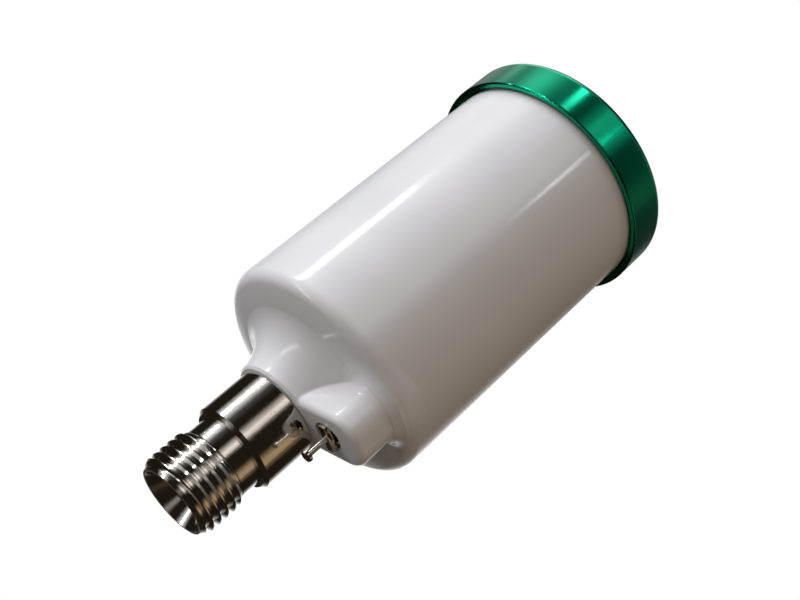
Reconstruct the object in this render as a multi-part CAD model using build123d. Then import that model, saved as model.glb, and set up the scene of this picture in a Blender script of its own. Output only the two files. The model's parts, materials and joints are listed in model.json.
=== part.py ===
from build123d import *
from math import radians, tan
import os

# A small gravity cup for a paint gun. Millimetres, +Z up along the cup's axis towards the lid.
# The origin is on the axis, on the collar's lower face, which seats on the gun. The air valve is on +X.

# Connector: a G 1/4 pipe thread below a smooth collar, with a shank in the cup's neck.
THREAD_R = 13.157 / 2
THREAD_PITCH = 1.337
THREAD_ROOT_R = 11.445 / 2
SPIGOT_LENGTH = 10.9
RELIEF_R = 5.85
RELIEF_LENGTH = 3.0
THREAD_CHAMFER = 1.5
THREAD_ROOT_SHARE = 0.85
THREAD_CREST_SHARE = 0.12
THREAD_RUN_OUT_TURNS = 0.8
COLLAR_R = 7.1
COLLAR_HEIGHT = 9.1
COLLAR_CHAMFER = 0.6
COLLAR_TOP_CHAMFER = 0.25
SHANK_R = 5.4
SHANK_LENGTH = 5.4
SHANK_KNURL_DEPTH = 0.3
SHANK_KNURL_FROM = 0.4
SHANK_KNURL_TO = 2.2
SHANK_KNURLS = 36
BORE_R = 4.0
BORE_TOP = 8.3
SEAT_CONE_R = 5.3
SEAT_CONE_HALF_ANGLE = 30
STRAINER_BORE_R = 4.2
O_RING_WIRE_R = 0.36
O_RING_CLEARANCE = 0.01
O_RING_BELOW_TOP = 1.75
O_RING_GROOVE_WIDTH = 1.0

# Cup: the outside is a neck, a flare, a shallow cone, a round shoulder and a nearly straight wall.
CUP_LOWER_R = 18.5
CUP_UPPER_R = 18.6
CUP_WALL = 1.75
CUP_RIM_Z = 73.7
NECK_R = 7.9
NECK_LIP = 0.35
FLARE_MIDDLE = (9.65, 13.6)
FLARE_END = (13.35, 16.1)
CONE_END = (16.9, 16.95)
SHOULDER_TOP_Z = 19.1
INNER_CONE_END = (12.8, 17.9)
INNER_SHOULDER_TOP_Z = 21.5

# Lug on the cup's underside, which holds the air valve.
LUG_HALF_WIDTH = 4.7
LUG_REACH = 17.4
LUG_TOP_Z = 18.3
LUG_CORNER_R = 3.8
LUG_EDGE_R = 0.9
VALVE_X = 11.2

# Lid, and the coarse thread with two starts that it turns on.
LID_R = 20.0
LID_BOTTOM_Z = 68.9
LID_TOP_Z = 76.3
LID_PLATE = 1.1
LID_EDGE_R = 1.4
LID_LOWER_EDGE_R = 0.25
LID_BORE_R = 18.75
LID_MOUTH_R = 19.25
LID_MOUTH_HEIGHT = 1.5
RIM_ROOT_R = 17.9
RIM_STEP_Z = 69.6
RIM_STEP_BEVEL = 0.3
RIM_THREAD_Z = 70.5
LID_LEAD = 4.0
LID_STARTS = 2
LID_THREAD_TURNS = 0.65
LID_THREAD_DEPTH = 0.6
LID_THREAD_BASE = 0.95
LID_THREAD_TIP = 0.4

# Lid liner and gasket: they stay still while the lid turns.
LINER_R = 18.4
LINER_THICKNESS = 0.6
LINER_GAP = 0.1
LINER_LIP_R = 16.3
LINER_LIP_WALL = 1.1
LINER_LIP_DEPTH = 1.9
GASKET_THICKNESS = 0.8

# Air valve: an insert moulded into the lug, with a spring-loaded valve core in it.
MOUTH_R = 2.45
MOUTH_DEPTH = 0.5
INSERT_R = 3.2
INSERT_BORE_R = 2.35
INSERT_OVER_BARREL = 1.6
INSERT_KNURL_DEPTH = 0.2
INSERT_KNURLS = 24
INSERT_GROOVE_DEPTH = 0.35
INSERT_GROOVE_WIDTH = 1.0
INSERT_HOLE_RUN_ON = 3.0
PLUG_R = 2.3
PLUG_BORE_R = 1.3
PLUG_HEIGHT = 2.2
PLUG_SINK = 0.7
BRIDGE_RISE = 0.5
BRIDGE_THICKNESS = 0.8
BRIDGE_WIDTH = 1.3
BRIDGE_OVERLAP = 0.5
BARREL_R = 1.75
BARREL_BORE_R = 1.2
BARREL_HEIGHT = 4.0
BARREL_SHOULDER = 0.7
BARREL_HOLE_R = 0.75
CORE_GASKET_FROM = 0.6
CORE_GASKET_TO = 1.5
PIN_R = 0.45
PIN_PROUD = 4.4
PIN_HEAD_R = 0.95
PIN_HEAD_HEIGHT = 0.6
PIN_HEAD_CHAMFER = 0.12
PIN_GUIDE_CLEARANCE = 0.1
PIN_FLANGE_R = 1.05
PIN_FLANGE_HEIGHT = 0.3
PIN_FLANGE_GAP = 0.1
POPPET_R = 1.6
POPPET_HEIGHT = 1.0
POPPET_SEAL_HEIGHT = 0.4
POPPET_SEAL_INSET = 0.1
SPRING_WIRE_R = 0.12
SPRING_R = 0.8
SPRING_COILS = 4

# Strainer: a moulded cage pressed into the top of the connector, with a fine mesh sleeve.
STRAINER_FLANGE_R = 5.3
STRAINER_FLANGE_HEIGHT = 0.7
STRAINER_WALL = 0.9
STRAINER_END_GAP = 1.0
CAGE_R = 4.9
CAGE_WALL = 0.8
CAGE_TOP_Z = 24.3
CAGE_ROOF = 0.9
CAGE_BAND = 0.8
CAGE_WINDOWS = 6
CAGE_WINDOW_WIDTH = 3.4
MESH_WALL = 0.15

# How far a ridge starts below its surface, how far a cutting tool runs past the surface that it opens, and
# the tolerance for finding an edge by its radius.
RIDGE_SINK = 0.05
OVERRUN = 1.0
TOUCH = 0.01

# Values that follow from those above.
NECK_Z = COLLAR_HEIGHT
SHANK_TOP_Z = COLLAR_HEIGHT + SHANK_LENGTH
O_RING_Z = SHANK_TOP_Z - O_RING_BELOW_TOP
CUP_INNER_R = CUP_LOWER_R - CUP_WALL
LID_INNER_TOP_Z = LID_TOP_Z - LID_PLATE
PLUG_Z = NECK_Z + PLUG_SINK
BARREL_Z = PLUG_Z + PLUG_HEIGHT
BARREL_TOP_Z = BARREL_Z + BARREL_HEIGHT
PIN_Z = NECK_Z - PIN_PROUD
FLANGE_Z = BARREL_Z + PIN_FLANGE_GAP
SPRING_BOTTOM_Z = FLANGE_Z + PIN_FLANGE_HEIGHT
SPRING_TOP_Z = BARREL_TOP_Z - BARREL_SHOULDER
INSERT_TOP_Z = BARREL_TOP_Z + INSERT_OVER_BARREL
CAGE_ROOF_Z = CAGE_TOP_Z - CAGE_ROOF


def turned(*points):
    """A solid of revolution about Z from the corners (radius, height) of its section."""
    outline = Polyline(*[(radius, 0, height) for radius, height in points], close=True)
    return revolve(make_face(outline), axis=Axis.Z)


def tube(inner_r, outer_r, bottom, top):
    """A plain ring or sleeve about Z."""
    return turned((inner_r, bottom), (outer_r, bottom), (outer_r, top), (inner_r, top))


def rod(radius, bottom, top):
    """A plain cylinder about Z."""
    return Pos(0, 0, bottom) * Cylinder(radius, top - bottom, align=(Align.CENTER, Align.CENTER, Align.MIN))


def ridge(base_r, tip_r, base_width, tip_width, lead, turns, start_z):
    """One right-hand helical ridge with a four-sided section, standing out or in from base_r to tip_r."""
    sunk_r = base_r - RIDGE_SINK if tip_r > base_r else base_r + RIDGE_SINK
    path = Helix(pitch=lead, height=lead * turns, radius=base_r, center=(0, 0, start_z))
    outline = Polyline(
        (sunk_r, 0, start_z - base_width / 2),
        (tip_r, 0, start_z - tip_width / 2),
        (tip_r, 0, start_z + tip_width / 2),
        (sunk_r, 0, start_z + base_width / 2),
        close=True,
    )
    return sweep(make_face(outline), path=path, is_frenet=True)


def around(shape, count, first_angle=0):
    """Equally spaced copies of a shape about Z."""
    return [Rot(0, 0, first_angle + 360 * step / count) * shape for step in range(count)]


def knurl(radius, depth, bottom, top, count):
    """The straight V grooves of a knurl, square in section, as cutting tools."""
    outline = Polyline((radius - depth, 0, bottom), (radius + depth, -2 * depth, bottom),
                       (radius + depth, 2 * depth, bottom), close=True)
    groove = extrude(make_face(outline), amount=top - bottom, dir=(0, 0, 1))
    return around(groove, count)


def spigot():
    """The threaded spigot with its relief groove, before it is bored."""
    end_z = -SPIGOT_LENGTH
    depth = THREAD_R - THREAD_ROOT_R
    clear_r = 2 * THREAD_R
    turns = (SPIGOT_LENGTH - RELIEF_LENGTH) / THREAD_PITCH + 2 * THREAD_RUN_OUT_TURNS
    thread_z = end_z - THREAD_RUN_OUT_TURNS * THREAD_PITCH
    body = rod(THREAD_ROOT_R, end_z - OVERRUN, 0)
    body += ridge(THREAD_ROOT_R, THREAD_R, THREAD_PITCH * THREAD_ROOT_SHARE,
                  THREAD_PITCH * THREAD_CREST_SHARE, THREAD_PITCH, turns, thread_z)
    body -= rod(clear_r, end_z - 2 * THREAD_PITCH, end_z)
    slope_height = (clear_r - THREAD_ROOT_R) * THREAD_CHAMFER
    body -= turned((THREAD_ROOT_R, end_z), (clear_r, end_z), (clear_r, end_z + slope_height))
    relief_z = -RELIEF_LENGTH
    body -= turned((RELIEF_R, OVERRUN), (RELIEF_R, relief_z), (THREAD_ROOT_R, relief_z),
                   (clear_r, relief_z - slope_height), (clear_r, OVERRUN))
    return body + rod(RELIEF_R, relief_z, 0)


def connector():
    """Plated brass: threaded spigot with a conical seat, collar, and a shank that holds in the neck."""
    body = spigot() + turned(
        (0, 0),
        (COLLAR_R - COLLAR_CHAMFER, 0),
        (COLLAR_R, COLLAR_CHAMFER),
        (COLLAR_R, COLLAR_HEIGHT - COLLAR_TOP_CHAMFER),
        (COLLAR_R - COLLAR_TOP_CHAMFER, COLLAR_HEIGHT),
        (SHANK_R, COLLAR_HEIGHT),
        (SHANK_R, SHANK_TOP_Z),
        (0, SHANK_TOP_Z),
    )
    body -= rod(BORE_R, -SPIGOT_LENGTH - OVERRUN, SHANK_TOP_Z + OVERRUN)
    body -= rod(STRAINER_BORE_R, BORE_TOP, SHANK_TOP_Z + OVERRUN)
    cone_depth = (SEAT_CONE_R - BORE_R) / tan(radians(SEAT_CONE_HALF_ANGLE))
    body -= turned((0, -SPIGOT_LENGTH), (SEAT_CONE_R, -SPIGOT_LENGTH), (BORE_R, -SPIGOT_LENGTH + cone_depth),
                   (0, -SPIGOT_LENGTH + cone_depth))
    groove_r = SHANK_R - 2 * (O_RING_WIRE_R + O_RING_CLEARANCE)
    groove_z = O_RING_Z - O_RING_GROOVE_WIDTH / 2
    body -= tube(groove_r, SHANK_R + OVERRUN, groove_z, groove_z + O_RING_GROOVE_WIDTH)
    return body - knurl(SHANK_R, SHANK_KNURL_DEPTH, COLLAR_HEIGHT + SHANK_KNURL_FROM,
                        COLLAR_HEIGHT + SHANK_KNURL_TO, SHANK_KNURLS)


def connector_o_ring():
    """Rubber ring in the shank's groove, which seals the connector in the neck."""
    return Pos(0, 0, O_RING_Z) * Torus(SHANK_R - O_RING_WIRE_R - O_RING_CLEARANCE, O_RING_WIRE_R)


def cup_outside():
    """The cup without its lug: neck, flare, cone, shoulder, wall and plain rim, as a solid."""
    lip = NECK_R - NECK_LIP
    step_in = CUP_UPPER_R - RIM_STEP_BEVEL
    bevel_z = RIM_STEP_Z - RIM_STEP_BEVEL
    outline = [
        Line((0, 0, NECK_Z), (lip, 0, NECK_Z)),
        Line((lip, 0, NECK_Z), (NECK_R, 0, NECK_Z + NECK_LIP)),
        ThreePointArc((NECK_R, 0, NECK_Z + NECK_LIP), (FLARE_MIDDLE[0], 0, FLARE_MIDDLE[1]),
                      (FLARE_END[0], 0, FLARE_END[1])),
        Line((FLARE_END[0], 0, FLARE_END[1]), (CONE_END[0], 0, CONE_END[1])),
        TangentArc((CUP_LOWER_R, 0, SHOULDER_TOP_Z), (CONE_END[0], 0, CONE_END[1]), tangent=(0, 0, -1)),
        Line((CUP_LOWER_R, 0, SHOULDER_TOP_Z), (CUP_UPPER_R, 0, bevel_z)),
        Line((CUP_UPPER_R, 0, bevel_z), (step_in, 0, RIM_STEP_Z)),
        Line((step_in, 0, RIM_STEP_Z), (RIM_ROOT_R, 0, RIM_STEP_Z)),
        Line((RIM_ROOT_R, 0, RIM_STEP_Z), (RIM_ROOT_R, 0, CUP_RIM_Z)),
        Line((RIM_ROOT_R, 0, CUP_RIM_Z), (0, 0, CUP_RIM_Z)),
        Line((0, 0, CUP_RIM_Z), (0, 0, NECK_Z)),
    ]
    return revolve(make_face(outline), axis=Axis.Z)


def cup_inside():
    """The space in the cup: outlet cone, shoulder and straight bore, with the connector's hole below."""
    outline = [
        Line((0, 0, NECK_Z - OVERRUN), (SHANK_R, 0, NECK_Z - OVERRUN)),
        Line((SHANK_R, 0, NECK_Z - OVERRUN), (SHANK_R, 0, SHANK_TOP_Z)),
        Line((SHANK_R, 0, SHANK_TOP_Z), (INNER_CONE_END[0], 0, INNER_CONE_END[1])),
        TangentArc((CUP_INNER_R, 0, INNER_SHOULDER_TOP_Z), (INNER_CONE_END[0], 0, INNER_CONE_END[1]),
                   tangent=(0, 0, -1)),
        Line((CUP_INNER_R, 0, INNER_SHOULDER_TOP_Z), (CUP_INNER_R, 0, CUP_RIM_Z + OVERRUN)),
        Line((CUP_INNER_R, 0, CUP_RIM_Z + OVERRUN), (0, 0, CUP_RIM_Z + OVERRUN)),
        Line((0, 0, CUP_RIM_Z + OVERRUN), (0, 0, NECK_Z - OVERRUN)),
    ]
    return revolve(make_face(outline), axis=Axis.Z)


def lug():
    """The block beside the neck: a flat lower face, flat sides and a round outer end."""
    plan = Pos(LUG_REACH / 2, 0) * Rectangle(LUG_REACH, 2 * LUG_HALF_WIDTH)
    outer_corners = plan.vertices().group_by(Axis.X)[-1]
    block = Pos(0, 0, NECK_Z) * extrude(fillet(outer_corners, LUG_CORNER_R), LUG_TOP_Z - NECK_Z)
    lower_face = block.faces().sort_by(Axis.Z)[0]
    inner_edge = lower_face.edges().sort_by(Axis.X)[0]
    return fillet([edge for edge in lower_face.edges() if edge != inner_edge], LUG_EDGE_R)


def cup_body():
    """Moulded nylon cup with its lug and the two ridges that the lid screws onto."""
    insert_hole = rod(INSERT_R, NECK_Z + MOUTH_DEPTH, INSERT_TOP_Z + INSERT_HOLE_RUN_ON)
    mouth = rod(MOUTH_R, NECK_Z - OVERRUN, NECK_Z + MOUTH_DEPTH + OVERRUN)
    body = cup_outside() + lug() - cup_inside() - Pos(VALVE_X, 0, 0) * (insert_hole + mouth)
    return body + around(ridge(RIM_ROOT_R, RIM_ROOT_R + LID_THREAD_DEPTH, LID_THREAD_BASE, LID_THREAD_TIP,
                               LID_LEAD, LID_THREAD_TURNS, RIM_THREAD_Z), LID_STARTS)


def outer_rim_edges(shell):
    """The circular edges of the lid at its full radius, lowest first."""
    circles = shell.edges().filter_by(GeomType.CIRCLE)
    return circles.filter_by(lambda edge: abs(edge.radius - LID_R) < TOUCH).sort_by(Axis.Z)


def lid_shell():
    """Anodised aluminium lid: a flat top, a round top edge, a plain skirt and two ridges inside."""
    shell = turned(
        (0, LID_INNER_TOP_Z),
        (LID_BORE_R, LID_INNER_TOP_Z),
        (LID_BORE_R, LID_BOTTOM_Z + LID_MOUTH_HEIGHT),
        (LID_MOUTH_R, LID_BOTTOM_Z + LID_MOUTH_HEIGHT),
        (LID_MOUTH_R, LID_BOTTOM_Z),
        (LID_R, LID_BOTTOM_Z),
        (LID_R, LID_TOP_Z),
        (0, LID_TOP_Z),
    )
    shell = fillet(outer_rim_edges(shell)[-1], LID_EDGE_R)
    shell = fillet(outer_rim_edges(shell)[0], LID_LOWER_EDGE_R)
    between_cup_ridges = RIM_THREAD_Z + LID_LEAD / LID_STARTS / 2
    thread = around(ridge(LID_BORE_R, LID_BORE_R - LID_THREAD_DEPTH, LID_THREAD_BASE, LID_THREAD_TIP,
                          LID_LEAD, LID_THREAD_TURNS, between_cup_ridges), LID_STARTS)
    return shell + thread


def lid_liner():
    """White liner disc in the lid, with a lip that centres it in the cup's mouth."""
    top = LID_INNER_TOP_Z - LINER_GAP
    bottom = top - LINER_THICKNESS
    disc = rod(LINER_R, bottom, top)
    return disc + tube(LINER_LIP_R - LINER_LIP_WALL, LINER_LIP_R, bottom - LINER_LIP_DEPTH, bottom)


def lid_gasket():
    """Flat rubber ring between the cup's rim and the liner."""
    return tube(LINER_LIP_R, RIM_ROOT_R, CUP_RIM_Z, CUP_RIM_Z + GASKET_THICKNESS)


def valve_insert():
    """Brass insert moulded into the lug, knurled and grooved so that it can't turn or pull out."""
    bottom = NECK_Z + MOUTH_DEPTH
    middle = (bottom + INSERT_TOP_Z) / 2
    body = tube(INSERT_BORE_R, INSERT_R, bottom, INSERT_TOP_Z)
    body -= tube(INSERT_R - INSERT_GROOVE_DEPTH, INSERT_R + OVERRUN, middle - INSERT_GROOVE_WIDTH / 2,
                 middle + INSERT_GROOVE_WIDTH / 2)
    return body - knurl(INSERT_R, INSERT_KNURL_DEPTH, bottom - OVERRUN, INSERT_TOP_Z + OVERRUN, INSERT_KNURLS)


def valve_core_plug():
    """Screwed plug of the valve core, with the bridge that guides the pin across its mouth."""
    sleeve = tube(PLUG_BORE_R, PLUG_R, PLUG_Z, BARREL_Z)
    bridge_bottom = NECK_Z - BRIDGE_RISE
    bridge_top = PLUG_Z + BRIDGE_OVERLAP
    upward = (Align.CENTER, Align.CENTER, Align.MIN)
    bar = Pos(0, 0, bridge_bottom) * Box(BRIDGE_WIDTH, 2 * PLUG_R, bridge_top - bridge_bottom, align=upward)
    arch_z = bridge_bottom + BRIDGE_THICKNESS
    arch = Pos(0, 0, arch_z) * Box(BRIDGE_WIDTH + OVERRUN, 2 * PLUG_BORE_R, bridge_top - arch_z, align=upward)
    bridge = (bar - arch) & rod(PLUG_R, bridge_bottom, bridge_top)
    guide = rod(PIN_R + PIN_GUIDE_CLEARANCE, bridge_bottom - OVERRUN, BARREL_Z)
    return sleeve + bridge - guide


def valve_core_barrel():
    """Barrel of the valve core: it holds the spring and its upper end is the seat for the poppet."""
    return turned(
        (BARREL_BORE_R, BARREL_Z),
        (BARREL_R, BARREL_Z),
        (BARREL_R, BARREL_TOP_Z),
        (BARREL_HOLE_R, BARREL_TOP_Z),
        (BARREL_HOLE_R, BARREL_TOP_Z - BARREL_SHOULDER),
        (BARREL_BORE_R, BARREL_TOP_Z - BARREL_SHOULDER),
    )


def valve_core_gasket():
    """Ring that seals the barrel in the insert's bore."""
    return tube(BARREL_R, INSERT_BORE_R, BARREL_Z + CORE_GASKET_FROM, BARREL_Z + CORE_GASKET_TO)


def valve_pin():
    """Pin with a flat head outside, a flange that the spring pushes on, and the stem of the poppet."""
    stem_top = BARREL_TOP_Z + POPPET_SEAL_HEIGHT + POPPET_HEIGHT
    head = rod(PIN_HEAD_R, PIN_Z, PIN_Z + PIN_HEAD_HEIGHT)
    head = chamfer(head.edges().filter_by(GeomType.CIRCLE), PIN_HEAD_CHAMFER)
    stem = rod(PIN_R, PIN_Z + PIN_HEAD_HEIGHT / 2, stem_top)
    return head + stem + rod(PIN_FLANGE_R, FLANGE_Z, FLANGE_Z + PIN_FLANGE_HEIGHT)


def poppet_cup():
    """Brass cup fixed on the pin's inner end, which carries the rubber seal."""
    bottom = BARREL_TOP_Z + POPPET_SEAL_HEIGHT
    return tube(PIN_R, POPPET_R, bottom, bottom + POPPET_HEIGHT)


def poppet_seal():
    """Rubber washer that closes on the barrel's end."""
    return tube(PIN_R, POPPET_R - POPPET_SEAL_INSET, BARREL_TOP_Z, BARREL_TOP_Z + POPPET_SEAL_HEIGHT)


def valve_spring():
    """Coil spring between the barrel's shoulder and the pin's flange."""
    bottom = SPRING_BOTTOM_Z + SPRING_WIRE_R
    height = SPRING_TOP_Z - SPRING_WIRE_R - bottom
    path = Helix(pitch=height / SPRING_COILS, height=height, radius=SPRING_R, center=(0, 0, bottom))
    wire = Plane(origin=path @ 0, z_dir=path % 0) * Circle(SPRING_WIRE_R)
    return sweep(wire, path=path, is_frenet=True)


def strainer_frame():
    """Moulded cage with a sleeve that presses into the top of the connector."""
    cage_z = SHANK_TOP_Z + STRAINER_FLANGE_HEIGHT
    inner_r = STRAINER_BORE_R - STRAINER_WALL
    sleeve = tube(inner_r, STRAINER_BORE_R, BORE_TOP + STRAINER_END_GAP, SHANK_TOP_Z)
    flange = tube(inner_r, STRAINER_FLANGE_R, SHANK_TOP_Z, cage_z)
    cage = tube(CAGE_R - CAGE_WALL, CAGE_R, cage_z, CAGE_TOP_Z) + rod(CAGE_R, CAGE_ROOF_Z, CAGE_TOP_Z)
    window_z = cage_z + CAGE_BAND
    window_height = CAGE_ROOF_Z - CAGE_BAND - window_z
    window = Pos(CAGE_R, 0, window_z) * Box(3 * CAGE_WALL, CAGE_WINDOW_WIDTH, window_height,
                                            align=(Align.CENTER, Align.CENTER, Align.MIN))
    return sleeve + flange + cage - around(window, CAGE_WINDOWS)


def strainer_mesh():
    """Fine mesh sleeve inside the cage."""
    outer = CAGE_R - CAGE_WALL
    return tube(outer - MESH_WALL, outer, SHANK_TOP_Z + STRAINER_FLANGE_HEIGHT, CAGE_ROOF_Z)


ON_CUP_AXIS = {
    "connector": connector,
    "connector_o_ring": connector_o_ring,
    "cup_body": cup_body,
    "strainer_frame": strainer_frame,
    "strainer_mesh": strainer_mesh,
    "lid_shell": lid_shell,
    "lid_liner": lid_liner,
    "lid_gasket": lid_gasket,
}
ON_VALVE_AXIS = {
    "valve_insert": valve_insert,
    "valve_core_plug": valve_core_plug,
    "valve_core_barrel": valve_core_barrel,
    "valve_core_gasket": valve_core_gasket,
    "valve_pin": valve_pin,
    "poppet_cup": poppet_cup,
    "poppet_seal": poppet_seal,
    "valve_spring": valve_spring,
}

os.makedirs("parts", exist_ok=True)
for name, make in ON_CUP_AXIS.items():
    export_step(make(), f"parts/{name}.step")
for name, make in ON_VALVE_AXIS.items():
    export_step(Pos(VALVE_X, 0, 0) * make(), f"parts/{name}.step")
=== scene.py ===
"""Looks of a small gravity-feed paint cup: materials, fine detail, studio light and camera. Metres, +Z to the lid."""

import json
from math import asin, atan2, cos, pi, radians, sin, sqrt, tan

import bmesh
import bpy
import numpy as np
from mathutils import Matrix, Vector


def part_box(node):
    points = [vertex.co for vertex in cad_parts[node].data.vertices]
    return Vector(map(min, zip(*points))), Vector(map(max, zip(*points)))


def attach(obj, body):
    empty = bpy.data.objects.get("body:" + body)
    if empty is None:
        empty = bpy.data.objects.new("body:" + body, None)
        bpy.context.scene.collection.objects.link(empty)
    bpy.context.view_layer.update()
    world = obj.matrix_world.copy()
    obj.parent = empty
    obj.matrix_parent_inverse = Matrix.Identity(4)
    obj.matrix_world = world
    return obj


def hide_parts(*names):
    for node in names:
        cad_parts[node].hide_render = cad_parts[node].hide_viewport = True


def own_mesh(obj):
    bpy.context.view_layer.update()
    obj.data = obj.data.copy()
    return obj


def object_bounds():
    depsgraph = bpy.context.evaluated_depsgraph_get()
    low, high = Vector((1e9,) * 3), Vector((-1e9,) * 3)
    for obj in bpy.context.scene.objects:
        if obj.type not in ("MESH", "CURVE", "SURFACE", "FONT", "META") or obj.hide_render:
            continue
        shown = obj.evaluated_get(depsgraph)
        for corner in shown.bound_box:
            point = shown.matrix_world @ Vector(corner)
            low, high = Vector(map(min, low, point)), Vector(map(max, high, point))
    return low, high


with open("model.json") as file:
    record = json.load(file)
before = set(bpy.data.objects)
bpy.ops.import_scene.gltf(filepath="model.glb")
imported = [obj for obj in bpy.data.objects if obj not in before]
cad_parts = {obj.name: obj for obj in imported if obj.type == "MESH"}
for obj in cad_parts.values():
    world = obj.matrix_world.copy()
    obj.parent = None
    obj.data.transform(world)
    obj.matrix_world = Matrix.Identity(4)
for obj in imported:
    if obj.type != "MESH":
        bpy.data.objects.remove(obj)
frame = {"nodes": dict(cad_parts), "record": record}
CAD_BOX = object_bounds()

MM = 0.001

# Places read from the frame.
CUP_LOW, CUP_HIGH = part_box("cup_body")
NECK_Z = CUP_LOW.z
LID_LOW, LID_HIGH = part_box("lid_shell")
PIN_LOW, PIN_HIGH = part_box("valve_pin")
VALVE_X = (PIN_LOW.x + PIN_HIGH.x) / 2
MIDDLE = Vector((0, 0, (CAD_BOX[0][2] + CAD_BOX[1][2]) / 2))

# Camera: below the cup, beside its lug, and rolled so that the cup lies across the picture.
CAMERA_PLACE = Vector((0.12543, -0.10646, -0.05182))
CAMERA_AZIMUTH = 49.90
CAMERA_ELEVATION = 28.10
CAMERA_ROLL = 49.41
CAMERA_LENS = 54.53

# The cup's skin in millimetres, where the frame's boxes don't give it.
NECK_BOTTOM = NECK_Z / MM
CUP_RIM_Z = CUP_HIGH.z / MM
CUP_UPPER_R = CUP_HIGH.y / MM
CUP_LOWER_R = CUP_UPPER_R - 0.1
CUP_INNER_R = CUP_LOWER_R - 1.75
SHANK_R = 5.4
SHANK_TOP_Z = NECK_BOTTOM + 5.4
NECK_R = 7.9
NECK_LIP = 0.35
FLARE_MIDDLE = (9.65, 13.6)
FLARE_END = (13.35, 16.1)
CONE_END = (16.9, 16.95)
SHOULDER_TOP_Z = 19.1
INNER_CONE_END = (12.8, 17.9)
INNER_SHOULDER_TOP_Z = 21.5
RIM_ROOT_R = 17.9
RIM_STEP_Z = CUP_RIM_Z - 4.1
RIM_STEP_BEVEL = 0.3
HUB_Z = 18.3

# The lug, and how widely it blends into the cup beside the neck and at its outer end.
LUG_HALF_WIDTH = 4.7
LUG_REACH = 17.4
LUG_CORNER_R = 3.8
LUG_EDGE_R = 1.1
BLEND_NEAR = 0.3
BLEND_FAR = 3.6
BLEND_FROM_X = 9.5
BLEND_TO_X = 15.5
BLEND_TOP_Z = 22.5
MOUTH_R = 2.45
MOUTH_DEPTH = 0.5
INSERT_R = 3.2
INSERT_HOLE_TOP = 21.0

# The valve's spring: its wire, and its turns with the closed ones at each end.
SPRING_WIRE_R = 0.12
SPRING_TURNS = 5.5
SPRING_CLOSED_TURNS = 0.8
SPRING_STEPS = 220
SPRING_SIDES = 10
LOOSE_FIT = 0.02

# The strainer's weave: upright threads that pass in and out of the hoops.
WEAVE_THREAD_R = 0.032
WEAVE_UPRIGHTS = 60
WEAVE_HOOPS = 20
WEAVE_SIDES = 5

# The two ridges on the rim.
LID_LEAD = 4.0
RIDGE_Z = RIM_STEP_Z + 0.9
RIDGE_TURNS = 0.65
RIDGE_DEPTH = 0.6
RIDGE_BASE = 0.95
RIDGE_TIP = 0.4
RIDGE_SINK = 0.05
RIDGE_STEPS = 78

# How finely the skin is divided.
FINE_AZIMUTH = 45
FINE_COLUMNS = 181
COARSE_COLUMNS = 91
LUG_ROWS = 150
SHARP_ANGLE = 28

# Studio. Every light is (azimuth, elevation, width, height, brightness, colour), in degrees as the cup sees it.
# Strips are hard-edged and show in the plating, soft boxes only light matt surfaces, and glows fade out.
PANEL_DISTANCE = 0.8
FLOOR_DROP = 1.0
FLOOR_SIZE = 16
FLOOR_GLOW = 0.38
COOL = (0.935, 0.955, 1.0)
WHITE = (1.0, 1.0, 1.0)
CREAM = (1.0, 0.93, 0.88)
GOLD = (1.0, 0.71, 0.41)
WARM = (1.0, 0.79, 0.59)
STRIPS = {
    "key_strip": (-121, 17, 6.5, 30, 8.0, WHITE),
    "lid_glint": (-81, 45, 5, 6, 8.0, WHITE),
    "window_edge": (-44, 20, 12, 50, 0.30, CREAM),
    "window_top": (-33, 38, 2.5, 4, 8.0, WHITE),
    "low_strip": (-121, -40, 6, 30, 4.0, WHITE),
}
SOFT_BOXES = {
    "main_box": (-115, 11, 56, 50, 2.15, COOL),
    "shadow_box": (8, -10, 64, 50, 0.46, WARM),
    "low_box": (-122, -40, 70, 44, 0.66, CREAM),
    "back_box": (142, 14, 60, 56, 2.2, WHITE),
}
GLOWS = {
    "key_glow": (-120, 0, 48, 170, 1.25, WHITE),
    "key_skirt": (-104, 0, 50, 90, 0.12, COOL),
    "lid_glow": (-127, 54, 120, 50, 1.35, WHITE),
    "lid_peak": (-158, 46, 24, 30, 0.9, WHITE),
    "lid_wrap": (178, 48, 60, 40, 0.7, WHITE),
    "lid_second": (-29, 46, 30, 26, 0.6, WHITE),
    "window_glow": (-48, 5, 40, 170, 0.75, CREAM),
    "gold_glow": (32, 6, 52, 100, 0.46, GOLD),
    "back_glow": (134, 14, 92, 62, 1.5, WHITE),
    "high_ring": (20, 56, 720, 50, 0.20, WHITE),
}
ROOM_COLOUR = (0.016, 0.0115, 0.008, 1)


# ---------------------------------------------------------------- shader helpers

def new_material(name, **values):
    """A material whose uniform values are set straight on the shader's own sockets."""
    material = bpy.data.materials.new(name)
    material.use_nodes = True
    shader = material.node_tree.nodes["Principled BSDF"]
    for socket, value in values.items():
        shader.inputs[socket.replace("_", " ")].default_value = value
    return material


def shader_of(material):
    return material.node_tree.nodes["Principled BSDF"]


def link(material, output, target):
    material.node_tree.links.new(output, target)


def place(material, stretch=(1, 1, 1)):
    """The point on the object, in metres, stretched along the row's axes."""
    nodes = material.node_tree.nodes
    mapping = nodes.new("ShaderNodeMapping")
    mapping.inputs["Scale"].default_value = stretch
    link(material, nodes.new("ShaderNodeTexCoord").outputs["Object"], mapping.inputs["Vector"])
    return mapping.outputs["Vector"]


def noise(material, size, detail=3.0, stretch=(1, 1, 1)):
    """Cloudy noise whose blobs are about size across."""
    node = material.node_tree.nodes.new("ShaderNodeTexNoise")
    node.inputs["Scale"].default_value = 1 / size
    node.inputs["Detail"].default_value = detail
    link(material, place(material, stretch), node.inputs["Vector"])
    return node.outputs["Fac"]


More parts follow.
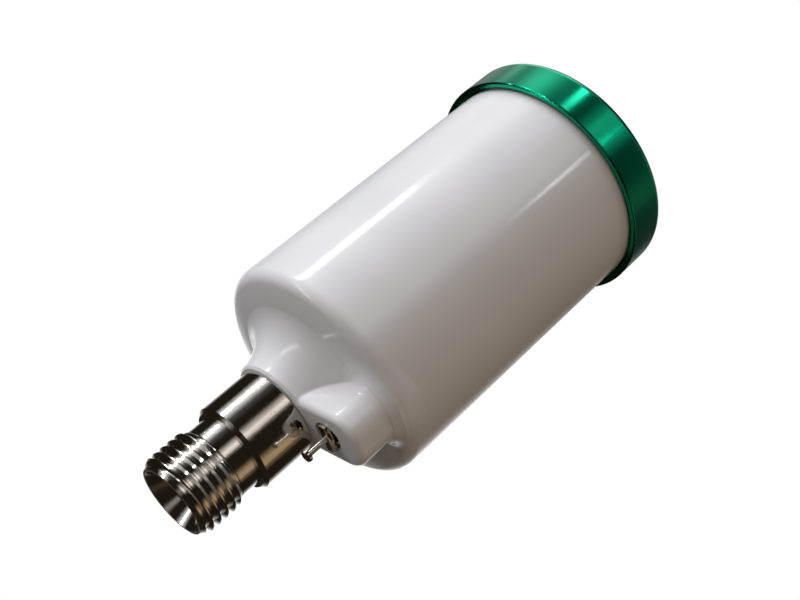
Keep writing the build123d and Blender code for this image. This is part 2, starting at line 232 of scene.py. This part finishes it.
def turning(material, size):
    """Noise that only changes along the axis and outwards from it, like the rings a lathe tool leaves."""
    nodes = material.node_tree.nodes
    point = nodes.new("ShaderNodeSeparateXYZ")
    link(material, place(material), point.inputs["Vector"])
    flat, rings = nodes.new("ShaderNodeCombineXYZ"), nodes.new("ShaderNodeCombineXYZ")
    link(material, point.outputs["X"], flat.inputs["X"])
    link(material, point.outputs["Y"], flat.inputs["Y"])
    radius = nodes.new("ShaderNodeVectorMath")
    radius.operation = "LENGTH"
    link(material, flat.outputs["Vector"], radius.inputs[0])
    link(material, radius.outputs["Value"], rings.inputs["X"])
    link(material, point.outputs["Z"], rings.inputs["Z"])
    node = nodes.new("ShaderNodeTexNoise")
    node.inputs["Scale"].default_value = 1 / size
    node.inputs["Detail"].default_value = 2
    link(material, rings.outputs["Vector"], node.inputs["Vector"])
    return node.outputs["Fac"]


def spread(material, source, low, high, start=0.3, stop=0.7):
    """A value mapped from start..stop to low..high."""
    node = material.node_tree.nodes.new("ShaderNodeMapRange")
    for socket, value in (("From Min", start), ("From Max", stop), ("To Min", low), ("To Max", high)):
        node.inputs[socket].default_value = value
    link(material, source, node.inputs["Value"])
    return node.outputs["Result"]


def mix(material, factor, first, second):
    """A colour between two colours; either may be another node's output."""
    node = material.node_tree.nodes.new("ShaderNodeMix")
    node.data_type = "RGBA"
    link(material, factor, node.inputs["Factor"])
    for socket, colour in ((node.inputs[6], first), (node.inputs[7], second)):
        if isinstance(colour, tuple):
            socket.default_value = (*colour, 1)
        else:
            link(material, colour, socket)
    return node.outputs[2]


def bump(material, height, depth, below=None):
    """A bump of the given depth in metres, on top of an earlier one."""
    node = material.node_tree.nodes.new("ShaderNodeBump")
    node.inputs["Strength"].default_value = 1
    node.inputs["Distance"].default_value = depth
    link(material, height, node.inputs["Height"])
    if below:
        link(material, below, node.inputs["Normal"])
    return node.outputs["Normal"]


def edges(material, start, stop):
    """0 on flats and 1 on sharp outer edges."""
    geometry = material.node_tree.nodes.new("ShaderNodeNewGeometry")
    return spread(material, geometry.outputs["Pointiness"], 0, 1, start, stop)


# ---------------------------------------------------------------- materials

def white_nylon():
    """Glossy moulded nylon: slightly milky, with faint flow clouds, soft waves and hairline scuffs."""
    material = new_material("white_nylon", IOR=1.52, Subsurface_Weight=0.12, Subsurface_Scale=0.0015)
    shader = shader_of(material)
    shader.inputs["Subsurface Radius"].default_value = (1.0, 0.9, 0.8)
    clouds = noise(material, 14 * MM, 4)
    colour = mix(material, spread(material, clouds, 0, 1), (0.79, 0.80, 0.83), (0.84, 0.845, 0.87))
    link(material, colour, shader.inputs["Base Color"])
    scuffs = noise(material, 1.6 * MM, 6, (1, 1, 0.12))
    link(material, spread(material, scuffs, 0.08, 0.15), shader.inputs["Roughness"])
    waves = bump(material, noise(material, 9 * MM, 1), 0.03 * MM)
    link(material, bump(material, noise(material, 0.3 * MM, 4), 0.0020 * MM, waves), shader.inputs["Normal"])
    return material


def plated_brass():
    """Bright nickel plate over turned brass: tool rings, tarnish clouds, and brass showing on worn edges."""
    material = new_material("plated_brass", Metallic=1.0, IOR=2.0)
    shader = shader_of(material)
    tarnish = spread(material, noise(material, 3 * MM, 5), 0, 1, 0.35, 0.75)
    plate = mix(material, tarnish, (0.80, 0.785, 0.76), (0.66, 0.63, 0.585))
    worn = mix(material, edges(material, 0.56, 0.64), plate, (0.86, 0.76, 0.58))
    link(material, worn, shader.inputs["Base Color"])
    smears = noise(material, 0.9 * MM, 6, (1, 1, 0.4))
    link(material, spread(material, smears, 0.035, 0.10), shader.inputs["Roughness"])
    rings = turning(material, 0.12 * MM)
    specks = spread(material, noise(material, 0.22 * MM, 2), 0, 1, 0.60, 0.70)
    pits = bump(material, specks, 0.0030 * MM, bump(material, noise(material, 0.35 * MM, 3), 0.0010 * MM))
    link(material, bump(material, rings, 0.0010 * MM, pits), shader.inputs["Normal"])
    return material


def green_anodised():
    """Green anodised aluminium: fine turned rings round the axis, dye clouds and paler rubbed edges."""
    material = new_material("green_anodised", Metallic=1.0, IOR=1.6, Coat_Weight=0.08, Coat_Roughness=0.10)
    shader = shader_of(material)
    clouds = spread(material, noise(material, 7 * MM, 4), 0, 1)
    dye = mix(material, clouds, (0.001, 0.35, 0.185), (0.002, 0.40, 0.215))
    worn = mix(material, edges(material, 0.62, 0.74), dye, (0.16, 0.60, 0.44))
    link(material, worn, shader.inputs["Base Color"])
    rings = turning(material, 0.07 * MM)
    link(material, spread(material, rings, 0.13, 0.18), shader.inputs["Roughness"])
    link(material, bump(material, rings, 0.0008 * MM), shader.inputs["Normal"])
    return material


def moulded_plastic(name, light, dark, rough_low, rough_high):
    """Matt moulded plastic with a fine spark-eroded grain."""
    material = new_material(name, IOR=1.49)
    shader = shader_of(material)
    colour = mix(material, spread(material, noise(material, 4 * MM, 4), 0, 1), dark, light)
    link(material, colour, shader.inputs["Base Color"])
    grain = noise(material, 0.18 * MM, 3)
    link(material, spread(material, grain, rough_low, rough_high), shader.inputs["Roughness"])
    link(material, bump(material, grain, 0.008 * MM), shader.inputs["Normal"])
    return material


def black_rubber():
    """Black nitrile rubber with a bloom of pale dust."""
    material = new_material("black_rubber", IOR=1.5)
    shader = shader_of(material)
    bloom = spread(material, noise(material, 1.2 * MM, 5), 0, 1, 0.45, 0.8)
    link(material, mix(material, bloom, (0.018, 0.018, 0.019), (0.06, 0.058, 0.055)), shader.inputs["Base Color"])
    grain = noise(material, 0.1 * MM, 4)
    link(material, spread(material, grain, 0.45, 0.65), shader.inputs["Roughness"])
    link(material, bump(material, grain, 0.006 * MM), shader.inputs["Normal"])
    return material


def turned_metal(name, bright, dull, rough_low, rough_high):
    """Bare turned metal with tool rings round the axis and duller patches."""
    material = new_material(name, Metallic=1.0)
    shader = shader_of(material)
    patches = spread(material, noise(material, 1.5 * MM, 5), 0, 1)
    link(material, mix(material, patches, bright, dull), shader.inputs["Base Color"])
    rings = noise(material, 0.08 * MM, 2, (0.05, 0.05, 1))
    link(material, spread(material, rings, rough_low, rough_high), shader.inputs["Roughness"])
    link(material, bump(material, rings, 0.003 * MM), shader.inputs["Normal"])
    return material


def dress_nodes():
    """Gives every node of the frame the material of its slot."""
    finishes = {
        "white_nylon": white_nylon(),
        "plated_brass": plated_brass(),
        "green_anodised": green_anodised(),
        "liner_plastic": moulded_plastic("liner_plastic", (0.84, 0.84, 0.82), (0.78, 0.78, 0.75), 0.35, 0.5),
        "cage_plastic": moulded_plastic("cage_plastic", (0.82, 0.82, 0.76), (0.75, 0.74, 0.68), 0.35, 0.5),
        "mesh_nylon": moulded_plastic("mesh_nylon", (0.80, 0.80, 0.74), (0.70, 0.69, 0.62), 0.3, 0.45),
        "black_rubber": black_rubber(),
        "brass": turned_metal("brass", (0.80, 0.60, 0.28), (0.62, 0.45, 0.20), 0.22, 0.38),
        "spring_steel": turned_metal("spring_steel", (0.66, 0.66, 0.67), (0.50, 0.50, 0.51), 0.2, 0.34),
    }
    for row in frame["record"]["subparts"]:
        node = frame["nodes"][row["node"]]
        node.data.materials.clear()
        node.data.materials.append(finishes[row["material_slot"]])
    return finishes


# ---------------------------------------------------------------- cup with its softly blended lug

def arc(centre, radius, start, stop, steps=12):
    """Points (radius, height) of an arc about a centre, between two angles from the outward direction."""
    return [(centre[0] + radius * cos(start + (stop - start) * step / steps),
             centre[1] + radius * sin(start + (stop - start) * step / steps)) for step in range(steps + 1)]


def shoulder(cone_end, wall_start):
    """Points of the round shoulder from the end of a cone up to where it meets a wall upright."""
    across, upwards = wall_start[0] - cone_end[0], wall_start[1] - cone_end[1]
    radius = (across ** 2 + upwards ** 2) / (2 * across)
    centre = (wall_start[0] - radius, wall_start[1])
    return arc(centre, radius, atan2(-upwards, cone_end[0] - centre[0]), 0)


def flare():
    """Points of the concave arc from the neck to the shallow cone."""
    (ax, az), (bx, bz), (cx, cz) = (NECK_R, NECK_BOTTOM + NECK_LIP), FLARE_MIDDLE, FLARE_END
    turn = 2 * (ax * (bz - cz) + bx * (cz - az) + cx * (az - bz))
    a, b, c = ax ** 2 + az ** 2, bx ** 2 + bz ** 2, cx ** 2 + cz ** 2
    centre = ((a * (bz - cz) + b * (cz - az) + c * (az - bz)) / turn,
              (a * (cx - bx) + b * (ax - cx) + c * (bx - ax)) / turn)
    radius = sqrt((ax - centre[0]) ** 2 + (az - centre[1]) ** 2)
    start, stop = (atan2(z - centre[1], x - centre[0]) % (2 * pi) for x, z in ((ax, az), (cx, cz)))
    return arc(centre, radius, start, stop, 24)


def lug_distance(x, y, z):
    """Signed distance to the lug: flat lower face, flat sides, round outer corners and rounded lower edges."""
    across = np.maximum(np.abs(x) - LUG_REACH + LUG_CORNER_R, np.abs(y) - LUG_HALF_WIDTH + LUG_CORNER_R)
    outside = np.hypot(np.maximum(np.abs(x) - LUG_REACH + LUG_CORNER_R, 0),
                       np.maximum(np.abs(y) - LUG_HALF_WIDTH + LUG_CORNER_R, 0))
    side = np.minimum(across, 0) + outside - LUG_CORNER_R + LUG_EDGE_R
    below = NECK_BOTTOM - z + LUG_EDGE_R
    return (np.minimum(np.maximum(side, below), 0)
            + np.hypot(np.maximum(side, 0), np.maximum(below, 0)) - LUG_EDGE_R)


def blended_reach(azimuths, slopes, reach, facing):
    """How far the blend of cup and lug reaches from the hub in each direction, by halving."""
    along, up = np.cos(slopes), np.sin(slopes)
    low, high = np.zeros((len(slopes), len(azimuths))), np.full((len(slopes), len(azimuths)), 2 * LUG_REACH)
    for _ in range(30):
        middle = (low + high) / 2
        x = middle * along[:, None] * np.cos(azimuths)
        y = middle * along[:, None] * np.sin(azimuths)
        z = HUB_Z + middle * up[:, None]
        cup = (middle - reach[:, None]) * facing[:, None]
        lug = np.where(x > 0, lug_distance(x, y, z), LUG_REACH)
        ease = np.clip((x - BLEND_FROM_X) / (BLEND_TO_X - BLEND_FROM_X), 0, 1)
        fade = np.clip((BLEND_TOP_Z - z) / (BLEND_TOP_Z - SHOULDER_TOP_Z), 0, 1)
        width = BLEND_NEAR + (BLEND_FAR - BLEND_NEAR) * ease ** 2 * (3 - 2 * ease) * fade ** 2 * (3 - 2 * fade)
        share = np.clip(0.5 + 0.5 * (lug - cup) / width, 0, 1)
        inside = lug * (1 - share) + cup * share - width * share * (1 - share) < 0
        low, high = np.where(inside, middle, low), np.where(inside, high, middle)
    return low


def lower_rows(azimuths):
    """Rings of points from the wall, where the blend has faded, down over the lug to the hole in the neck."""
    wall_share = (BLEND_TOP_Z - SHOULDER_TOP_Z) / (RIM_STEP_Z - RIM_STEP_BEVEL - SHOULDER_TOP_Z)
    wall_r = CUP_LOWER_R + (CUP_UPPER_R - CUP_LOWER_R) * wall_share
    profile = [(SHANK_R, NECK_BOTTOM), (NECK_R - NECK_LIP, NECK_BOTTOM), *flare(),
               *shoulder(CONE_END, (CUP_LOWER_R, SHOULDER_TOP_Z)), (wall_r, BLEND_TOP_Z)]
    radii, heights = (np.array(values) for values in zip(*profile))
    reach, slopes = np.hypot(radii, heights - HUB_Z), np.arctan2(heights - HUB_Z, radii)
    rows = np.union1d(slopes, np.linspace(slopes[0], slopes[-1], LUG_ROWS))
    row_r, row_z = np.interp(rows, slopes, radii), np.interp(rows, slopes, heights)
    row_reach = np.hypot(row_r, row_z - HUB_Z)
    run_r, run_z = np.gradient(row_r), np.gradient(row_z)
    facing = np.abs(run_r * np.sin(rows) - run_z * np.cos(rows)) / np.hypot(run_r, run_z)
    distance = blended_reach(azimuths, rows, row_reach, facing)
    flat = distance * np.cos(rows)[:, None]
    rings = np.stack([flat * np.cos(azimuths), flat * np.sin(azimuths),
                      HUB_Z + distance * np.sin(rows)[:, None]], axis=-1)
    return [ring for ring in rings[::-1]]


def upper_rows(azimuths):
    """Rings of points up the inside, over the rim and down the wall to the shoulder."""
    profile = [(SHANK_R, SHANK_TOP_Z), *shoulder(INNER_CONE_END, (CUP_INNER_R, INNER_SHOULDER_TOP_Z)),
               (CUP_INNER_R, CUP_RIM_Z), (RIM_ROOT_R, CUP_RIM_Z), (RIM_ROOT_R, RIM_STEP_Z),
               (CUP_UPPER_R - RIM_STEP_BEVEL, RIM_STEP_Z), (CUP_UPPER_R, RIM_STEP_Z - RIM_STEP_BEVEL)]
    return [np.stack([radius * np.cos(azimuths), radius * np.sin(azimuths), np.full(len(azimuths), height)], axis=-1)
            for radius, height in profile]


def ridge_points(start_azimuth):
    """Four points of the rim ridge's section at each step along its helix."""
    section = ((RIM_ROOT_R - RIDGE_SINK, -RIDGE_BASE / 2), (RIM_ROOT_R + RIDGE_DEPTH, -RIDGE_TIP / 2),
               (RIM_ROOT_R + RIDGE_DEPTH, RIDGE_TIP / 2), (RIM_ROOT_R - RIDGE_SINK, RIDGE_BASE / 2))
    for step in range(RIDGE_STEPS + 1):
        turn = RIDGE_TURNS * step / RIDGE_STEPS
        angle = radians(start_azimuth) + 2 * pi * turn
        height = RIDGE_Z + LID_LEAD * turn
        yield [(radius * cos(angle), radius * sin(angle), height + lift) for radius, lift in section]


def add_tube(mesh, rings, closed):
    """Adds rings of points joined by quads, closed end to end or capped."""
    loops = [[mesh.verts.new([value * MM for value in point]) for point in ring] for ring in rings]
    count = len(loops[0])
    pairs = list(zip(loops, loops[1:])) + ([(loops[-1], loops[0])] if closed else [])
    for first, second in pairs:
        for column in range(count):
            after = (column + 1) % count
            mesh.faces.new((first[column], first[after], second[after], second[column]))
    if not closed:
        mesh.faces.new(loops[0])
        mesh.faces.new(reversed(loops[-1]))


def new_piece(name, mesh, material):
    """A new object from a finished bmesh, with one material."""
    data = bpy.data.meshes.new(name)
    mesh.to_mesh(data)
    mesh.free()
    data.materials.append(material)
    piece = bpy.data.objects.new(name, data)
    bpy.context.scene.collection.objects.link(piece)
    return piece


def cylinder_cutter(name, radius, bottom, top):
    """A closed cylinder on the air valve's axis, to cut holes with."""
    bpy.ops.mesh.primitive_cylinder_add(vertices=96, radius=radius * MM, depth=(top - bottom) * MM,
                                        location=(VALVE_X, 0, (bottom + top) / 2 * MM))
    bpy.context.object.name = name
    return bpy.context.object


def cut(piece, cutter):
    """Cuts a solid out of a piece and deletes it."""
    modifier = piece.modifiers.new("cut", "BOOLEAN")
    modifier.operation = "DIFFERENCE"
    modifier.solver = "EXACT"
    modifier.object = cutter
    bpy.context.view_layer.objects.active = piece
    bpy.ops.object.modifier_apply(modifier="cut")
    bpy.data.objects.remove(cutter, do_unlink=True)


def add_ridges(piece):
    """Adds the rim's two ridges. They sink into the rim, so a cut made after them would drop them."""
    mesh = bmesh.new()
    mesh.from_mesh(piece.data)
    for start_azimuth in (0, 180):
        add_tube(mesh, list(ridge_points(start_azimuth)), closed=False)
    bmesh.ops.recalc_face_normals(mesh, faces=mesh.faces)
    mesh.to_mesh(piece.data)
    mesh.free()


def cup_shell(material):
    """The whole cup in one skin, with the lug's outer end run softly into the shoulder."""
    fine = np.linspace(-FINE_AZIMUTH, FINE_AZIMUTH, FINE_COLUMNS)
    coarse = np.linspace(FINE_AZIMUTH, 360 - FINE_AZIMUTH, COARSE_COLUMNS)[1:-1]
    azimuths = np.radians(np.concatenate([fine, coarse]))
    mesh = bmesh.new()
    add_tube(mesh, lower_rows(azimuths) + upper_rows(azimuths), closed=True)
    bmesh.ops.recalc_face_normals(mesh, faces=mesh.faces)
    piece = new_piece("cup_shell", mesh, material)
    cut(piece, cylinder_cutter("mouth", MOUTH_R, NECK_BOTTOM - 1, NECK_BOTTOM + MOUTH_DEPTH))
    cut(piece, cylinder_cutter("insert_hole", INSERT_R, NECK_BOTTOM + MOUTH_DEPTH, INSERT_HOLE_TOP))
    add_ridges(piece)
    piece.data.shade_smooth()
    piece.data.set_sharp_from_angle(angle=radians(SHARP_ANGLE))
    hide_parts("cup_body")
    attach(piece, "cup")


# ---------------------------------------------------------------- valve spring

def spring_rings(low, high):
    """Rings of points round the wire, along a helix whose first and last turns lie closed."""
    coil_r = (high.x - low.x) / 2 / MM - SPRING_WIRE_R
    closed_rise = 2 * SPRING_WIRE_R
    open_turns = SPRING_TURNS - 2 * SPRING_CLOSED_TURNS
    open_rise = ((high.z - low.z) / MM - closed_rise * (1 + 2 * SPRING_CLOSED_TURNS)) / open_turns
    for step in range(SPRING_STEPS + 1):
        turn = SPRING_TURNS * step / SPRING_STEPS
        opened = min(max(turn - SPRING_CLOSED_TURNS, 0), open_turns)
        height = low.z / MM + SPRING_WIRE_R + closed_rise * (turn - opened) + open_rise * opened
        angle = 2 * pi * turn
        ring = []
        for side in range(SPRING_SIDES):
            around = 2 * pi * side / SPRING_SIDES
            radius = coil_r + SPRING_WIRE_R * cos(around)
            ring.append((VALVE_X / MM + radius * cos(angle), radius * sin(angle),
                         height + SPRING_WIRE_R * sin(around)))
        yield ring


def valve_spring(material):
    """The coil spring, which the pin's flange presses towards the barrel's shoulder."""
    low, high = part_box("valve_spring")
    mesh = bmesh.new()
    add_tube(mesh, list(spring_rings(low, high)), closed=False)
    bmesh.ops.recalc_face_normals(mesh, faces=mesh.faces)
    piece = new_piece("spring_wire", mesh, material)
    piece.data.shade_smooth()
    piece.data.set_sharp_from_angle(angle=radians(2 * SHARP_ANGLE))
    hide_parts("valve_spring")
    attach(piece, "cup")
    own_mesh(piece)


# ---------------------------------------------------------------- strainer weave

def thread_ring(azimuth, radius, height, upright):
    """Points round one thread, in the plane that an upright thread or a hoop crosses squarely."""
    ring = []
    for side in range(WEAVE_SIDES):
        around = 2 * pi * side / WEAVE_SIDES
        outwards, sideways = WEAVE_THREAD_R * cos(around), WEAVE_THREAD_R * sin(around)
        reach = radius + outwards
        shift = sideways if upright else 0
        ring.append((reach * cos(azimuth) - shift * sin(azimuth), reach * sin(azimuth) + shift * cos(azimuth),
                     height + (0 if upright else sideways)))
    return ring


def strainer_weave(material):
    """Plain-woven sleeve inside the cage: each thread passes over one neighbour and under the next."""
    low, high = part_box("strainer_mesh")
    middle_r = high.x / MM - 2 * WEAVE_THREAD_R - LOOSE_FIT
    bottom, top = low.z / MM + WEAVE_THREAD_R, high.z / MM - WEAVE_THREAD_R
    mesh = bmesh.new()
    for upright in range(WEAVE_UPRIGHTS):
        azimuth = 2 * pi * upright / WEAVE_UPRIGHTS
        rings = []
        for step in range(2 * WEAVE_HOOPS - 1):
            swing = WEAVE_THREAD_R * cos(pi * (step / 2 + upright))
            height = bottom + (top - bottom) * step / (2 * WEAVE_HOOPS - 2)
            rings.append(thread_ring(azimuth, middle_r + swing, height, True))
        add_tube(mesh, rings, closed=False)
    for hoop in range(WEAVE_HOOPS):
        height = bottom + (top - bottom) * hoop / (WEAVE_HOOPS - 1)
        rings = []
        for step in range(2 * WEAVE_UPRIGHTS):
            swing = -WEAVE_THREAD_R * cos(pi * (step / 2 + hoop))
            rings.append(thread_ring(pi * step / WEAVE_UPRIGHTS, middle_r + swing, height, False))
        add_tube(mesh, rings, closed=True)
    bmesh.ops.recalc_face_normals(mesh, faces=mesh.faces)
    piece = new_piece("strainer_weave", mesh, material)
    piece.data.shade_smooth()
    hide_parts("strainer_mesh")
    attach(piece, "cup")


# ---------------------------------------------------------------- studio

def towards(azimuth, elevation):
    """The unit direction with that azimuth from +X and that elevation, in degrees."""
    flat = cos(radians(elevation))
    return Vector((flat * cos(radians(azimuth)), flat * sin(radians(azimuth)), sin(radians(elevation))))


def panel(name, mirrored, azimuth, elevation, width, height, brightness, colour):
    """A rectangular light that covers the given angles, seen or not seen in mirrors."""
    light = bpy.data.lights.new(name, "AREA")
    light.shape = "RECTANGLE"
    light.size = 2 * PANEL_DISTANCE * tan(radians(width) / 2)
    light.size_y = 2 * PANEL_DISTANCE * tan(radians(height) / 2)
    light.color = colour
    light.energy = brightness * pi * light.size * light.size_y
    lamp = bpy.data.objects.new(name, light)
    direction = towards(azimuth, elevation)
    lamp.location = MIDDLE + PANEL_DISTANCE * direction
    lamp.rotation_euler = direction.to_track_quat("Z", "Y").to_euler()
    lamp.visible_camera = False
    lamp.visible_glossy = mirrored
    bpy.context.scene.collection.objects.link(lamp)


def glow(nodes, links, azimuth, elevation, width, height, brightness, colour):
    """A patch of the room's wall that is bright in its middle and fades out to the given angles."""
    turn = nodes.new("ShaderNodeVectorRotate")
    turn.rotation_type = "Z_AXIS"
    turn.inputs["Angle"].default_value = -radians(azimuth)
    links.new(nodes.new("ShaderNodeTexCoord").outputs["Generated"], turn.inputs["Vector"])
    parts = nodes.new("ShaderNodeSeparateXYZ")
    links.new(turn.outputs["Vector"], parts.inputs["Vector"])

    def math(operation, first, second):
        node = nodes.new("ShaderNodeMath")
        node.operation = operation
        for socket, value in zip(node.inputs, (first, second)):
            if isinstance(value, (int, float)):
                socket.default_value = value
            elif value:
                links.new(value, socket)
        return node.outputs["Value"]

    def fade(angle, full_angle):
        node = nodes.new("ShaderNodeMapRange")
        node.interpolation_type = "SMOOTHSTEP"
        for socket, value in (("From Min", radians(full_angle) / 2), ("From Max", 0), ("To Min", 0), ("To Max", 1)):
            node.inputs[socket].default_value = value
        links.new(math("ABSOLUTE", angle, None), node.inputs["Value"])
        return node.outputs["Result"]

    across = fade(math("ARCTAN2", parts.outputs["Y"], parts.outputs["X"]), width)
    upwards = fade(math("SUBTRACT", math("ARCSINE", parts.outputs["Z"], None), radians(elevation)), height)
    patch = nodes.new("ShaderNodeBackground")
    patch.inputs["Color"].default_value = (*colour, 1)
    links.new(math("MULTIPLY", math("MULTIPLY", across, upwards), brightness), patch.inputs["Strength"])
    return patch.outputs["Background"]


def room():
    """A dim warm room with soft glows on its walls, which the camera sees as plain white."""
    world = bpy.data.worlds.new("studio")
    bpy.context.scene.world = world
    world.use_nodes = True
    nodes, links = world.node_tree.nodes, world.node_tree.links
    dim = nodes["Background"]
    dim.inputs["Color"].default_value = ROOM_COLOUR
    light = dim.outputs["Background"]
    for numbers in GLOWS.values():
        total = nodes.new("ShaderNodeAddShader")
        links.new(light, total.inputs[0])
        links.new(glow(nodes, links, *numbers), total.inputs[1])
        light = total.outputs["Shader"]
    white = nodes.new("ShaderNodeBackground")
    white.inputs["Color"].default_value = (1, 1, 1, 1)
    chooser = nodes.new("ShaderNodeMixShader")
    links.new(nodes.new("ShaderNodeLightPath").outputs["Is Camera Ray"], chooser.inputs["Fac"])
    links.new(light, chooser.inputs[1])
    links.new(white.outputs["Background"], chooser.inputs[2])
    links.new(chooser.outputs["Shader"], nodes["World Output"].inputs["Surface"])


def floor():
    """A plain pale floor below the cup and the camera."""
    bpy.ops.mesh.primitive_plane_add(size=FLOOR_SIZE, location=(0, 0, CAD_BOX[0][2] - FLOOR_DROP))
    ground = bpy.context.object
    ground.name = "floor"
    material = new_material("floor_paper")
    shader = shader_of(material)
    shade = spread(material, noise(material, 0.15, 3), 0, 1)
    link(material, mix(material, shade, (0.74, 0.735, 0.73), (0.78, 0.775, 0.77)), shader.inputs["Base Color"])
    shader.inputs["Roughness"].default_value = 0.85
    shader.inputs["Emission Color"].default_value = (1, 1, 1, 1)
    shader.inputs["Emission Strength"].default_value = FLOOR_GLOW
    ground.data.materials.append(material)
    ground.visible_glossy = False
    ground.visible_diffuse = False


def camera():
    """The camera, set by where it stands, where it looks and how far it is rolled."""
    data = bpy.data.cameras.new("camera")
    data.lens = CAMERA_LENS
    data.sensor_width = 36
    data.clip_start = 0.005
    eye = bpy.data.objects.new("camera", data)
    look = Matrix.Rotation(radians(CAMERA_AZIMUTH), 4, "Z") @ Matrix.Rotation(
        radians(90 + CAMERA_ELEVATION), 4, "X") @ Matrix.Rotation(radians(CAMERA_ROLL), 4, "Z")
    eye.matrix_world = Matrix.Translation(CAMERA_PLACE) @ look
    bpy.context.scene.collection.objects.link(eye)
    bpy.context.scene.camera = eye


camera()
room()
floor()
for panel_name, numbers in STRIPS.items():
    panel(panel_name, True, *numbers)
for panel_name, numbers in SOFT_BOXES.items():
    panel(panel_name, False, *numbers)
finishes = dress_nodes()
cup_shell(finishes["white_nylon"])
valve_spring(finishes["spring_steel"])
strainer_weave(finishes["mesh_nylon"])
bpy.context.scene.view_settings.view_transform = "Standard"
